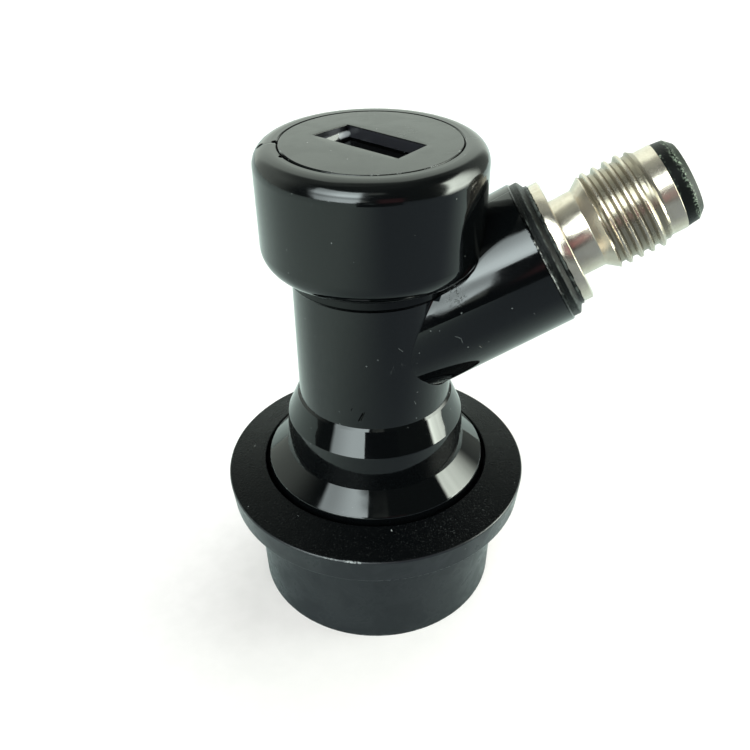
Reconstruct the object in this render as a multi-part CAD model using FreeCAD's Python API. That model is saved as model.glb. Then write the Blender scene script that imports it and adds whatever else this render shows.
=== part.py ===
import FreeCAD, Part
import math
import os

# Ball lock coupling that carries a liquid line: a moulded body with a sprung release collar
# round its skirt, a sprung valve pin inside, a slotted screw cap on top and a threaded
# metal outlet at the end of a slanted arm.
# +Z is up. The origin is on the socket's axis, level with the rims of skirt and collar,
# and the arm rises towards +X. Lengths are in millimetres and angles in degrees.

# Post socket, open at the bottom
SOCKET_R = 8.9
SOCKET_DEPTH = 17.0
MOUTH_STEP = 0.3
MOUTH_LENGTH = 2.4
MOUTH_LEAD = 0.3

# Locking balls, 5/32 inch: how far they stand into the socket, and out of the skirt
BALL_COUNT = 3
BALL_R = 1.985
BALL_HEIGHT = 5.2
BALL_BITE = 0.9
BALL_PROUD = 0.07
FIRST_BALL_ANGLE = 60.0

# Outside of the body, from the skirt up to the head
SKIRT_HEIGHT = 16.0
SHOULDER_STEP = 1.5
SHOULDER_HEIGHT = 2.47
LOWER_CONE_HEIGHT = 2.15
WAIST_TAPER = 0.42
WAIST_HEIGHT = 4.33
UPPER_CONE_STEP = 1.28
UPPER_CONE_HEIGHT = 2.88
BARREL_FLARE = 0.25
BARREL_FOOT_HEIGHT = 0.25
BARREL_R = 9.05
BARREL_HEIGHT = 15.48
NECK_STEP = 0.51
NECK_HEIGHT = 1.44
HEAD_STEP = 2.62
HEAD_DRAFT = 0.1
HEAD_HEIGHT = 13.2
HEAD_TOP_ROUND = 2.0
HEAD_LOW_ROUND = 2.6
CONE_ROUND = 0.3

# Small rounds and broken edges of the mouldings
EDGE_ROUND = 0.15
EDGE_BREAK = 0.12

# Valve chamber, its seat and the flow hole into the socket
CHAMBER_R = 6.2
FLOW_HOLE_R = 3.1
WEB_THICKNESS = 2.5
SEAT_HEIGHT = 2.5

# Outlet arm, slimmer than the barrel by its inset
ARM_RISE = 29.3
ARM_ABOVE_BARREL_FOOT = 6.73
ARM_INSET = 0.75
ARM_LENGTH = 21.55
ARM_BORE_R = 3.0
ARM_ROOT_ROUND = 0.25
ARM_END_CHAMFER = 0.15
CORE_SOCKET_R = 5.5
CORE_SOCKET_DEPTH = 8.5

# Ring welded to the arm's end
END_RING_INSET = 0.25
END_RING_THICKNESS = 0.9
END_LIP_INSET = 0.85
END_LIP_CHAMFER = 0.4
END_LIP_THICKNESS = 0.75

# Core of the outlet, and its sealing tip
CORE_TUBE_R = 3.6
CORE_FLOW_R = 2.4
CORE_FLANGE_STEP = 1.1
CORE_FLANGE_THICKNESS = 0.9
TIP_STEP = 0.06
TIP_DRAFT = 0.17
TIP_LENGTH = 1.35
TIP_CHAMFER = 0.75
OUTLET_SEAL_WIRE_R = 0.7
OUTLET_SEAL_PLACE = 4.5

# Metal outlet fitting, for a 7/16 inch flare nut of 20 turns to the inch.
# Its neck, ramp and nose are given by their depth under the thread's crests.
FLANGE_R = 7.05
FLANGE_THICKNESS = 1.1
FLANGE_CHAMFER_WIDTH = 0.45
FLANGE_CHAMFER_HEIGHT = 0.15
FITTING_NECK_DEPTH = 1.055
FITTING_NECK_LENGTH = 2.55
NECK_RAMP_LENGTH = 1.2
NECK_RAMP_DEPTH = 0.155
THREAD_R = 5.555
THREAD_LEAD = 0.2
THREAD_LENGTH = 5.1
THREAD_RUN_OUT = 1.0
NOSE_DEPTH = 0.675
NOSE_LENGTH = 1.75

# Screw cap in the head
HEAD_RIM_WIDTH = 2.79
CAP_DISC_GAP = 0.1
CAP_DISC_THICKNESS = 3.0
CAP_DISC_STEP = 0.49
CAP_THREAD_LENGTH = 5.6
CAP_SPIGOT_LENGTH = 2.0
CAP_SPIGOT_GAP = 0.1
CAP_SPIGOT_WALL = 1.1
CAP_POCKET_DEPTH = 4.0
CAP_SEAL_WIRE_R = 0.8
SLOT_LENGTH = 10.7
SLOT_WIDTH = 4.7
SLOT_DEPTH = 1.6
SLOT_ANGLE = -42.0

# Valve pin. Its stem, shoulder, groove and lip are sized from the flow hole.
PIN_FLOW_GAP = 1.4
PIN_REACH = 5.5
PIN_TIP_ROUND = 0.6
PIN_SHOULDER_GAP = 0.5
VALVE_GROOVE_GAP = 0.1
VALVE_LIP_STEP = 0.2
VALVE_DISC_GAP = 1.3
VALVE_DISC_THICKNESS = 1.2
VALVE_SEAL_WIRE_R = 0.9
FIN_COUNT = 4
FIN_THICKNESS = 1.2
FIN_LENGTH = 5.0
WAIST_OF_PIN_R = 2.0
WAIST_OF_PIN_LENGTH = 8.5
SPRING_SEAT_GAP = 0.2
SPRING_SEAT_THICKNESS = 1.2
SPRING_PEG_LENGTH = 2.5

# Valve spring, and its room inside the cap's pocket and round the peg
VALVE_SPRING_ROOM = 0.4
VALVE_SPRING_WIRE_R = 0.4
VALVE_SPRING_TURNS = 5.0

# Release collar and its travel
COLLAR_LIFT = 3.6
COLLAR_HOLE_GAP = 0.55
COLLAR_WALL = 1.62
COLLAR_TAPER = 0.43
COLLAR_SLEEVE_HEIGHT = 13.37
FLANGE_OVERHANG = 2.73
FLANGE_DRAFT = 0.35
COLLAR_RIM_HEIGHT = 3.36
COLLAR_DISH_HEIGHT = 1.17
COLLAR_ROUND = 0.3
LAND_LENGTH = 1.71
STOP_HEIGHT = 2.0

# Collar spring
COLLAR_SPRING_WIRE_R = 0.5
COLLAR_SPRING_TURNS = 3.5

# Retaining ring
RING_STAND = 1.3
RING_ROOM = 0.2
RING_THICKNESS = 1.0
RING_BITE = 0.9
RING_GAP_WIDTH = 4.0
RING_GAP_ANGLE = 240.0

# Clearances
SLIDE_GAP = 0.1
THREAD_GAP = 0.08
SEAL_GAP = 0.05
FIT_GAP = 0.05
BALL_GAP = 0.04

# Heights that follow, from the floor up
SHOULDER_TOP = SKIRT_HEIGHT + SHOULDER_HEIGHT
WAIST_FOOT = SHOULDER_TOP + LOWER_CONE_HEIGHT
WAIST_TOP = WAIST_FOOT + WAIST_HEIGHT
BARREL_FOOT = WAIST_TOP + UPPER_CONE_HEIGHT
BARREL_TOP = BARREL_FOOT + BARREL_FOOT_HEIGHT + BARREL_HEIGHT
HEAD_FOOT = BARREL_TOP + NECK_HEIGHT
HEAD_TOP = HEAD_FOOT + HEAD_HEIGHT
ARM_AXIS_HEIGHT = BARREL_FOOT + ARM_ABOVE_BARREL_FOOT

SEAT_FOOT = SOCKET_DEPTH + WEB_THICKNESS
CHAMBER_FOOT = SEAT_FOOT + SEAT_HEIGHT

RIM_FLOOR = HEAD_TOP - CAP_DISC_THICKNESS - SEAL_GAP
CAP_DISC_FOOT = HEAD_TOP - CAP_DISC_THICKNESS
CAP_UNDERSIDE = CAP_DISC_FOOT - CAP_THREAD_LENGTH
CAP_SEAL_HEIGHT = CAP_UNDERSIDE - SEAL_GAP - CAP_SEAL_WIRE_R
CAP_SHELF = CAP_SEAL_HEIGHT - CAP_SEAL_WIRE_R - SEAL_GAP
CAP_FOOT = CAP_UNDERSIDE - CAP_SPIGOT_LENGTH
CAP_POCKET_ROOF = CAP_FOOT + CAP_POCKET_DEPTH

# Radii that follow. The skirt's wall is as thick as a ball less its bite into the socket.
MOUTH_R = SOCKET_R + MOUTH_STEP
BALL_PLACE_R = SOCKET_R - BALL_BITE + BALL_R
SKIRT_R = BALL_PLACE_R + BALL_R - BALL_PROUD
SHOULDER_R = SKIRT_R + SHOULDER_STEP
BARREL_FOOT_R = BARREL_R + BARREL_FLARE
WAIST_TOP_R = BARREL_FOOT_R + UPPER_CONE_STEP
WAIST_FOOT_R = WAIST_TOP_R + WAIST_TAPER
NECK_R = BARREL_R + NECK_STEP
HEAD_LOW_R = NECK_R + HEAD_STEP
HEAD_TOP_R = HEAD_LOW_R + HEAD_DRAFT
ARM_R = BARREL_R - ARM_INSET
END_RING_R = ARM_R - END_RING_INSET
END_LIP_R = END_RING_R - END_LIP_INSET

CAP_DISC_R = HEAD_TOP_R - HEAD_RIM_WIDTH
CAP_THREAD_R = CAP_DISC_R - CAP_DISC_STEP
CAP_SPIGOT_R = CHAMBER_R - CAP_SPIGOT_GAP
CAP_POCKET_R = CAP_SPIGOT_R - CAP_SPIGOT_WALL
VALVE_SPRING_R = CAP_POCKET_R - VALVE_SPRING_ROOM - VALVE_SPRING_WIRE_R
SPRING_PEG_R = VALVE_SPRING_R - VALVE_SPRING_WIRE_R - VALVE_SPRING_ROOM
SPRING_SEAT_R = CHAMBER_R - SPRING_SEAT_GAP
VALVE_DISC_R = CHAMBER_R - VALVE_DISC_GAP
PIN_R = FLOW_HOLE_R - PIN_FLOW_GAP
PIN_SHOULDER_R = FLOW_HOLE_R - PIN_SHOULDER_GAP
VALVE_GROOVE_R = FLOW_HOLE_R - VALVE_GROOVE_GAP
VALVE_LIP_R = FLOW_HOLE_R + VALVE_LIP_STEP

COLLAR_HOLE_R = SHOULDER_R + COLLAR_HOLE_GAP
COLLAR_SLEEVE_TOP_R = COLLAR_HOLE_R + COLLAR_WALL
COLLAR_FOOT_R = COLLAR_SLEEVE_TOP_R - COLLAR_TAPER
COLLAR_RIM_LOW_R = COLLAR_SLEEVE_TOP_R + FLANGE_OVERHANG
COLLAR_RIM_TOP_R = COLLAR_RIM_LOW_R + FLANGE_DRAFT
COLLAR_SPRING_R = (SKIRT_R + COLLAR_HOLE_R) / 2.0
RING_R = SKIRT_R + RING_STAND
RECESS_R = RING_R + RING_ROOM
RING_GROOVE_R = SKIRT_R - RING_BITE

FLANGE_CHAMFER_R = FLANGE_R - FLANGE_CHAMFER_WIDTH
FITTING_NECK_R = THREAD_R - FITTING_NECK_DEPTH
NECK_RAMP_R = THREAD_R - NECK_RAMP_DEPTH
NOSE_R = THREAD_R - NOSE_DEPTH
TIP_R = NOSE_R - TIP_STEP
TIP_EDGE_R = TIP_R - TIP_DRAFT
CORE_FLANGE_R = CORE_SOCKET_R + CORE_FLANGE_STEP

# Stations that follow, along the arm from the socket's axis
CORE_SOCKET_FLOOR = ARM_LENGTH - CORE_SOCKET_DEPTH
END_LIP_START = ARM_LENGTH + END_RING_THICKNESS
FITTING_START = END_LIP_START + END_LIP_THICKNESS
FLANGE_END = FITTING_START + FLANGE_THICKNESS
RAMP_START = FLANGE_END + FLANGE_CHAMFER_HEIGHT + FITTING_NECK_LENGTH
RAMP_END = RAMP_START + NECK_RAMP_LENGTH
THREAD_START = RAMP_END + THREAD_LEAD
THREAD_END = THREAD_START + THREAD_LENGTH
NOSE_START = THREAD_END + THREAD_RUN_OUT
TIP_START = NOSE_START + NOSE_LENGTH
TIP_EDGE = TIP_START + TIP_LENGTH
TIP_END = TIP_EDGE + TIP_CHAMFER

# The valve seal rests on the seat's cone, so its height follows from the cone's slope
VALVE_SEAL_R = VALVE_GROOVE_R + FIT_GAP + VALVE_SEAL_WIRE_R
SEAT_WIDTH = CHAMBER_R - FLOW_HOLE_R
SEAT_SLANT = math.hypot(SEAT_WIDTH, SEAT_HEIGHT)
SEAL_STANDOFF = (VALVE_SEAL_WIRE_R + SEAL_GAP) * SEAT_SLANT / SEAT_WIDTH
VALVE_SEAL_HEIGHT = SEAT_FOOT + (VALVE_SEAL_R - FLOW_HOLE_R) * SEAT_HEIGHT / SEAT_WIDTH + SEAL_STANDOFF
VALVE_DISC_FOOT = VALVE_SEAL_HEIGHT + VALVE_SEAL_WIRE_R + FIT_GAP
FIN_FOOT = VALVE_DISC_FOOT + VALVE_DISC_THICKNESS
FIN_TOP = FIN_FOOT + FIN_LENGTH
SPRING_SEAT_FOOT = FIN_TOP + WAIST_OF_PIN_LENGTH
SPRING_SEAT_TOP = SPRING_SEAT_FOOT + SPRING_SEAT_THICKNESS

# The collar's ramp, which lets the balls out as the collar lifts, and the land above it
RAMP_SLOPE = BALL_BITE / COLLAR_LIFT
LAND_R = SKIRT_R + SLIDE_GAP
RAMP_R_AT_BALL = BALL_PLACE_R + (BALL_R + BALL_GAP) * math.hypot(1.0, RAMP_SLOPE)
LAND_FOOT = BALL_HEIGHT + (RAMP_R_AT_BALL - LAND_R) / RAMP_SLOPE
LEDGE_HEIGHT = LAND_FOOT + LAND_LENGTH
RAMP_FOOT_R = RAMP_R_AT_BALL + RAMP_SLOPE * (BALL_HEIGHT - STOP_HEIGHT)
COLLAR_RIM_TOP = COLLAR_SLEEVE_HEIGHT + COLLAR_RIM_HEIGHT
COLLAR_TOP = COLLAR_RIM_TOP + COLLAR_DISH_HEIGHT
RING_TOP = STOP_HEIGHT - SEAL_GAP
RING_FOOT = RING_TOP - RING_THICKNESS

# Cutting tools run past the faces that they open by this much
OVERSHOOT = 1.0

# Sides of a spring's wire
WIRE_SIDES = 8


def point(radius, height):
    """A point of a turned outline, in the half plane towards +X."""
    return FreeCAD.Vector(radius, 0.0, height)


def turned(outline):
    """A solid turned about +Z from its closed outline of radius and height."""
    corners = [point(radius, height) for radius, height in outline]
    face = Part.Face(Part.makePolygon(corners + corners[:1]))
    return face.revolve(FreeCAD.Vector(), FreeCAD.Vector(0, 0, 1), 360)


def cylinder(radius, low, high):
    """A round bar on the axis between two heights."""
    return Part.makeCylinder(radius, high - low, point(0.0, low))


def rounded(solid, size, rims):
    """Rounds the circular edges that lie at the given pairs of radius and height."""
    edges = []
    for edge in solid.Edges:
        curve = edge.Curve
        if not isinstance(curve, Part.Circle):
            continue
        for radius, height in rims:
            if abs(curve.Radius - radius) < 1e-4 and abs(curve.Center.z - height) < 1e-4:
                edges.append(edge)
    return solid.makeFillet(size, edges)


def on_arm(solid):
    """Moves a solid made along +Z onto the arm's axis."""
    turn = FreeCAD.Rotation(FreeCAD.Vector(0, 1, 0), 90.0 - ARM_RISE)
    placed = solid.copy()
    placed.Placement = FreeCAD.Placement(point(0.0, ARM_AXIS_HEIGHT), turn)
    return placed


def about_axis(solid, angle):
    """Turns a solid about the socket's axis."""
    placed = solid.copy()
    placed.rotate(FreeCAD.Vector(), FreeCAD.Vector(0, 0, 1), angle)
    return placed


def coil(radius, wire_radius, low, high, turns):
    """A compression spring of eight-sided wire that lies between two heights."""
    rise = high - low - 2.0 * wire_radius
    pitch = rise / turns
    path = Part.makeHelix(pitch, rise, radius)
    along = FreeCAD.Vector(0, 2.0 * math.pi * radius, pitch).normalize()
    outward = FreeCAD.Vector(1, 0, 0)
    across = along.cross(outward)
    corners = []
    for side in range(WIRE_SIDES):
        angle = 2.0 * math.pi * (side + 0.5) / WIRE_SIDES
        offset = outward * math.cos(angle) + across * math.sin(angle)
        corners.append(point(radius, 0.0) + offset * wire_radius)
    section = Part.makePolygon(corners + corners[:1])
    spring = Part.Wire(path.Edges).makePipeShell([section], True, True)
    spring.translate(point(0.0, low + wire_radius))
    return spring


def ball_angles():
    """The directions of the locking balls round the axis."""
    return [FIRST_BALL_ANGLE + 360.0 * index / BALL_COUNT for index in range(BALL_COUNT)]


def body_outside():
    """The body's turned outside, with its rounds, before the arm joins it."""
    outline = [
        (0.0, 0.0),
        (SKIRT_R, 0.0),
        (SKIRT_R, SKIRT_HEIGHT),
        (SHOULDER_R, SKIRT_HEIGHT),
        (SHOULDER_R, SHOULDER_TOP),
        (WAIST_FOOT_R, WAIST_FOOT),
        (WAIST_TOP_R, WAIST_TOP),
        (BARREL_FOOT_R, BARREL_FOOT),
        (BARREL_R, BARREL_FOOT + BARREL_FOOT_HEIGHT),
        (BARREL_R, BARREL_TOP),
        (NECK_R, BARREL_TOP),
        (NECK_R, HEAD_FOOT),
        (HEAD_LOW_R, HEAD_FOOT),
        (HEAD_TOP_R, HEAD_TOP),
        (0.0, HEAD_TOP),
    ]
    outside = turned(outline)
    outside = rounded(outside, HEAD_TOP_ROUND, [(HEAD_TOP_R, HEAD_TOP)])
    low_round = min(HEAD_LOW_ROUND, HEAD_LOW_R - NECK_R - 0.01)
    outside = rounded(outside, low_round, [(HEAD_LOW_R, HEAD_FOOT)])
    outside = rounded(outside, EDGE_ROUND, [(NECK_R, BARREL_TOP)])
    return rounded(outside, CONE_ROUND, [(WAIST_TOP_R, WAIST_TOP), (SHOULDER_R, SHOULDER_TOP)])


def body_inside():
    """The space inside the body: socket, flow hole, seat, chamber and the cap's bore."""
    return turned([
        (0.0, -OVERSHOOT),
        (MOUTH_R, -OVERSHOOT),
        (MOUTH_R, MOUTH_LENGTH),
        (SOCKET_R, MOUTH_LENGTH + MOUTH_LEAD),
        (SOCKET_R, SOCKET_DEPTH),
        (FLOW_HOLE_R, SOCKET_DEPTH),
        (FLOW_HOLE_R, SEAT_FOOT),
        (CHAMBER_R, CHAMBER_FOOT),
        (CHAMBER_R, CAP_SHELF),
        (CAP_THREAD_R + THREAD_GAP, CAP_SHELF),
        (CAP_THREAD_R + THREAD_GAP, RIM_FLOOR),
        (CAP_DISC_R + CAP_DISC_GAP, RIM_FLOOR),
        (CAP_DISC_R + CAP_DISC_GAP, HEAD_TOP - EDGE_BREAK),
        (CAP_DISC_R + CAP_DISC_GAP + EDGE_BREAK, HEAD_TOP),
        (CAP_DISC_R + CAP_DISC_GAP + EDGE_BREAK, HEAD_TOP + OVERSHOOT),
        (0.0, HEAD_TOP + OVERSHOOT),
    ])


def barrel_and_arm():
    """The arm grown out of the barrel, with a round where they meet."""
    barrel = cylinder(BARREL_R, BARREL_FOOT + BARREL_FOOT_HEIGHT, HEAD_TOP - HEAD_TOP_ROUND)
    arm = turned([
        (0.0, 0.0),
        (ARM_R, 0.0),
        (ARM_R, ARM_LENGTH - ARM_END_CHAMFER),
        (ARM_R - ARM_END_CHAMFER, ARM_LENGTH),
        (0.0, ARM_LENGTH),
    ])
    joined = barrel.fuse(on_arm(arm))
    root = []
    for edge in joined.Edges:
        if not isinstance(edge.Curve, (Part.Circle, Part.Line)):
            root.append(edge)
    return joined.makeFillet(ARM_ROOT_ROUND, root)


def ball_hole(angle):
    """A round-nosed hole through the skirt, from outside in, that holds one ball."""
    radius = BALL_R + BALL_GAP
    centre = point(BALL_PLACE_R, BALL_HEIGHT)
    length = SKIRT_R - BALL_PLACE_R + OVERSHOOT
    hole = Part.makeCylinder(radius, length, centre, FreeCAD.Vector(1, 0, 0))
    return about_axis(hole.fuse(Part.makeSphere(radius, centre)), angle)


def body_shell():
    """The moulded body: skirt, shoulder, cones, barrel, head and arm in one piece."""
    body = body_outside().fuse(barrel_and_arm()).removeSplitter()
    body = body.cut(body_inside())
    body = body.cut(on_arm(cylinder(ARM_BORE_R, 0.0, ARM_LENGTH + OVERSHOOT)))
    body = body.cut(on_arm(cylinder(CORE_SOCKET_R, CORE_SOCKET_FLOOR, ARM_LENGTH + OVERSHOOT)))
    for angle in ball_angles():
        body = body.cut(ball_hole(angle))
    groove = cylinder(SKIRT_R + OVERSHOOT, RING_FOOT - FIT_GAP, RING_TOP + FIT_GAP)
    return body.cut(groove.cut(cylinder(RING_GROOVE_R, 0.0, RING_TOP + OVERSHOOT)))


def arm_end_ring():
    """The ring that closes the arm round the core's flange."""
    return on_arm(turned([
        (CORE_FLANGE_R + FIT_GAP, ARM_LENGTH),
        (END_RING_R, ARM_LENGTH),
        (END_RING_R, END_LIP_START - EDGE_BREAK),
        (END_RING_R - EDGE_BREAK, END_LIP_START),
        (END_LIP_R, END_LIP_START + END_LIP_CHAMFER),
        (END_LIP_R, FITTING_START),
        (CORE_TUBE_R + FIT_GAP, FITTING_START),
        (CORE_TUBE_R + FIT_GAP, END_LIP_START),
        (CORE_FLANGE_R + FIT_GAP, END_LIP_START),
    ]))


def outlet_core():
    """The tube that carries the liquid through the fitting and ends in the sealing tip."""
    core_r = CORE_SOCKET_R - FIT_GAP
    seal_place = CORE_SOCKET_FLOOR + OUTLET_SEAL_PLACE
    groove_half = OUTLET_SEAL_WIRE_R + FIT_GAP
    groove_r = core_r - 2.0 * OUTLET_SEAL_WIRE_R
    return on_arm(turned([
        (CORE_FLOW_R, CORE_SOCKET_FLOOR + FIT_GAP),
        (core_r, CORE_SOCKET_FLOOR + FIT_GAP),
        (core_r, seal_place - groove_half),
        (groove_r, seal_place - groove_half),
        (groove_r, seal_place + groove_half),
        (core_r, seal_place + groove_half),
        (core_r, ARM_LENGTH),
        (CORE_FLANGE_R, ARM_LENGTH),
        (CORE_FLANGE_R, ARM_LENGTH + CORE_FLANGE_THICKNESS),
        (CORE_TUBE_R, ARM_LENGTH + CORE_FLANGE_THICKNESS),
        (CORE_TUBE_R, TIP_START),
        (TIP_R, TIP_START),
        (TIP_EDGE_R, TIP_EDGE),
        (TIP_EDGE_R - TIP_CHAMFER, TIP_END),
        (CORE_FLOW_R, TIP_END),
    ]))


def outlet_seal_ring():
    """The ring that seals the core in the arm."""
    centre = CORE_SOCKET_FLOOR + OUTLET_SEAL_PLACE
    radius = CORE_SOCKET_R - FIT_GAP - OUTLET_SEAL_WIRE_R
    return on_arm(Part.makeTorus(radius, OUTLET_SEAL_WIRE_R, point(0.0, centre)))


def outlet_fitting():
    """The metal fitting, with its thread as a plain cylinder of the major diameter."""
    return on_arm(turned([
        (CORE_TUBE_R + FIT_GAP, FITTING_START),
        (FLANGE_R, FITTING_START),
        (FLANGE_R, FLANGE_END),
        (FLANGE_CHAMFER_R, FLANGE_END + FLANGE_CHAMFER_HEIGHT),
        (FITTING_NECK_R, FLANGE_END + FLANGE_CHAMFER_HEIGHT),
        (FITTING_NECK_R, RAMP_START),
        (NECK_RAMP_R, RAMP_END),
        (THREAD_R, THREAD_START),
        (THREAD_R, THREAD_END),
        (NOSE_R, NOSE_START),
        (NOSE_R, TIP_START),
        (CORE_TUBE_R + FIT_GAP, TIP_START),
    ]))


def screw_cap():
    """The cap that closes the chamber, with a driver slot on top and a spring pocket below."""
    cap = turned([
        (0.0, CAP_POCKET_ROOF),
        (CAP_POCKET_R, CAP_POCKET_ROOF),
        (CAP_POCKET_R, CAP_FOOT),
        (CAP_SPIGOT_R, CAP_FOOT),
        (CAP_SPIGOT_R, CAP_UNDERSIDE),
        (CAP_THREAD_R, CAP_UNDERSIDE),
        (CAP_THREAD_R, CAP_DISC_FOOT),
        (CAP_DISC_R, CAP_DISC_FOOT),
        (CAP_DISC_R, HEAD_TOP - EDGE_BREAK),
        (CAP_DISC_R - EDGE_BREAK, HEAD_TOP),
        (0.0, HEAD_TOP),
    ])
    corner = FreeCAD.Vector(-SLOT_LENGTH / 2.0, -SLOT_WIDTH / 2.0, HEAD_TOP - SLOT_DEPTH)
    slot = Part.makeBox(SLOT_LENGTH, SLOT_WIDTH, SLOT_DEPTH + OVERSHOOT, corner)
    cap = cap.cut(about_axis(slot, SLOT_ANGLE))
    rim = []
    for edge in cap.Edges:
        level = abs(edge.BoundBox.ZMin - HEAD_TOP) + abs(edge.BoundBox.ZMax - HEAD_TOP) < 1e-4
        if level and isinstance(edge.Curve, Part.Line):
            rim.append(edge)
    return cap.makeChamfer(EDGE_BREAK, rim)


def cap_seal_ring():
    """The ring under the cap, round its spigot."""
    radius = CAP_SPIGOT_R + FIT_GAP + CAP_SEAL_WIRE_R
    return Part.makeTorus(radius, CAP_SEAL_WIRE_R, point(0.0, CAP_SEAL_HEIGHT))


def plunger():
    """The valve pin: tip, seal groove, guide fins, waist and spring seat."""
    guide_r = CHAMBER_R - SLIDE_GAP
    tip = SOCKET_DEPTH - PIN_REACH
    groove_foot = VALVE_SEAL_HEIGHT - VALVE_SEAL_WIRE_R
    pin = turned([
        (0.0, tip),
        (PIN_R - PIN_TIP_ROUND, tip),
        (PIN_R, tip + PIN_TIP_ROUND),
        (PIN_R, SEAT_FOOT - WEB_THICKNESS / 2.0),
        (PIN_SHOULDER_R, SEAT_FOOT),
        (VALVE_LIP_R, groove_foot - SEAL_GAP),
        (VALVE_LIP_R, groove_foot),
        (VALVE_GROOVE_R, groove_foot),
        (VALVE_GROOVE_R, VALVE_DISC_FOOT),
        (VALVE_DISC_R, VALVE_DISC_FOOT),
        (VALVE_DISC_R, FIN_FOOT),
        (PIN_SHOULDER_R, FIN_FOOT),
        (PIN_SHOULDER_R, FIN_TOP),
        (WAIST_OF_PIN_R, FIN_TOP),
        (WAIST_OF_PIN_R, SPRING_SEAT_FOOT),
        (SPRING_SEAT_R, SPRING_SEAT_FOOT),
        (SPRING_SEAT_R, SPRING_SEAT_TOP),
        (SPRING_PEG_R, SPRING_SEAT_TOP),
        (SPRING_PEG_R, SPRING_SEAT_TOP + SPRING_PEG_LENGTH),
        (0.0, SPRING_SEAT_TOP + SPRING_PEG_LENGTH),
    ])
    fins = []
    for index in range(FIN_COUNT):
        corner = FreeCAD.Vector(0.0, -FIN_THICKNESS / 2.0, FIN_FOOT)
        fin = Part.makeBox(CHAMBER_R, FIN_THICKNESS, FIN_LENGTH, corner)
        fins.append(about_axis(fin, 360.0 * (index + 0.5) / FIN_COUNT))
    for fin in fins:
        pin = pin.fuse(fin.common(cylinder(guide_r, FIN_FOOT, FIN_TOP)))
    return pin.removeSplitter()


def plunger_seal_ring():
    """The valve's seal, just off its seat by the sealing gap."""
    return Part.makeTorus(VALVE_SEAL_R, VALVE_SEAL_WIRE_R, point(0.0, VALVE_SEAL_HEIGHT))


def plunger_spring():
    """The spring between the valve pin and the cap."""
    low = SPRING_SEAT_TOP + FIT_GAP
    high = CAP_POCKET_ROOF - FIT_GAP
    return coil(VALVE_SPRING_R, VALVE_SPRING_WIRE_R, low, high, VALVE_SPRING_TURNS)


def lock_ball(angle):
    """One locking ball, pressed in by the collar's ramp."""
    return about_axis(Part.makeSphere(BALL_R, point(BALL_PLACE_R, BALL_HEIGHT)), angle)


def collar():
    """The release collar: dished flange, sleeve, spring pocket, land and ball ramp."""
    ring = turned([
        (RECESS_R, 0.0),
        (COLLAR_FOOT_R, 0.0),
        (COLLAR_SLEEVE_TOP_R, COLLAR_SLEEVE_HEIGHT),
        (COLLAR_RIM_LOW_R, COLLAR_SLEEVE_HEIGHT),
        (COLLAR_RIM_TOP_R, COLLAR_RIM_TOP),
        (COLLAR_HOLE_R, COLLAR_TOP),
        (COLLAR_HOLE_R, LEDGE_HEIGHT),
        (LAND_R, LEDGE_HEIGHT),
        (LAND_R, LAND_FOOT),
        (RAMP_FOOT_R, STOP_HEIGHT),
        (RECESS_R, STOP_HEIGHT),
    ])
    rims = [
        (COLLAR_RIM_LOW_R, COLLAR_SLEEVE_HEIGHT),
        (COLLAR_RIM_TOP_R, COLLAR_RIM_TOP),
        (COLLAR_SLEEVE_TOP_R, COLLAR_SLEEVE_HEIGHT),
    ]
    ring = rounded(ring, COLLAR_ROUND, rims)
    return rounded(ring, EDGE_ROUND, [(COLLAR_HOLE_R, COLLAR_TOP), (COLLAR_FOOT_R, 0.0)])


def collar_spring():
    """The spring that holds the collar down, between its ledge and the body's shoulder."""
    low = LEDGE_HEIGHT + FIT_GAP
    high = SKIRT_HEIGHT - FIT_GAP
    return coil(COLLAR_SPRING_R, COLLAR_SPRING_WIRE_R, low, high, COLLAR_SPRING_TURNS)


def retaining_ring():
    """The split ring in the skirt's groove that stops the collar."""
    ring = cylinder(RING_R, RING_FOOT, RING_TOP)
    ring = ring.cut(cylinder(RING_GROOVE_R + FIT_GAP, RING_FOOT, RING_TOP))
    corner = FreeCAD.Vector(0.0, -RING_GAP_WIDTH / 2.0, RING_FOOT)
    gap = Part.makeBox(RING_R + OVERSHOOT, RING_GAP_WIDTH, RING_THICKNESS, corner)
    return ring.cut(about_axis(gap, RING_GAP_ANGLE))


def main():
    """Builds every piece and writes it as a file of its own."""
    pieces = {
        "body_shell": body_shell(),
        "arm_end_ring": arm_end_ring(),
        "outlet_core": outlet_core(),
        "outlet_seal_ring": outlet_seal_ring(),
        "outlet_fitting": outlet_fitting(),
        "screw_cap": screw_cap(),
        "cap_seal_ring": cap_seal_ring(),
        "plunger": plunger(),
        "plunger_seal_ring": plunger_seal_ring(),
        "plunger_spring": plunger_spring(),
        "collar": collar(),
        "collar_spring": collar_spring(),
        "retaining_ring": retaining_ring(),
    }
    for index, angle in enumerate(ball_angles()):
        pieces["lock_ball_%d" % (index + 1)] = lock_ball(angle)
    os.makedirs("parts", exist_ok=True)
    for name, shape in pieces.items():
        shape.exportStep("parts/%s.step" % name)
        print(name, shape.isValid(), len(shape.Solids), round(shape.Volume, 2))


main()
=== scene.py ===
import math

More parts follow.
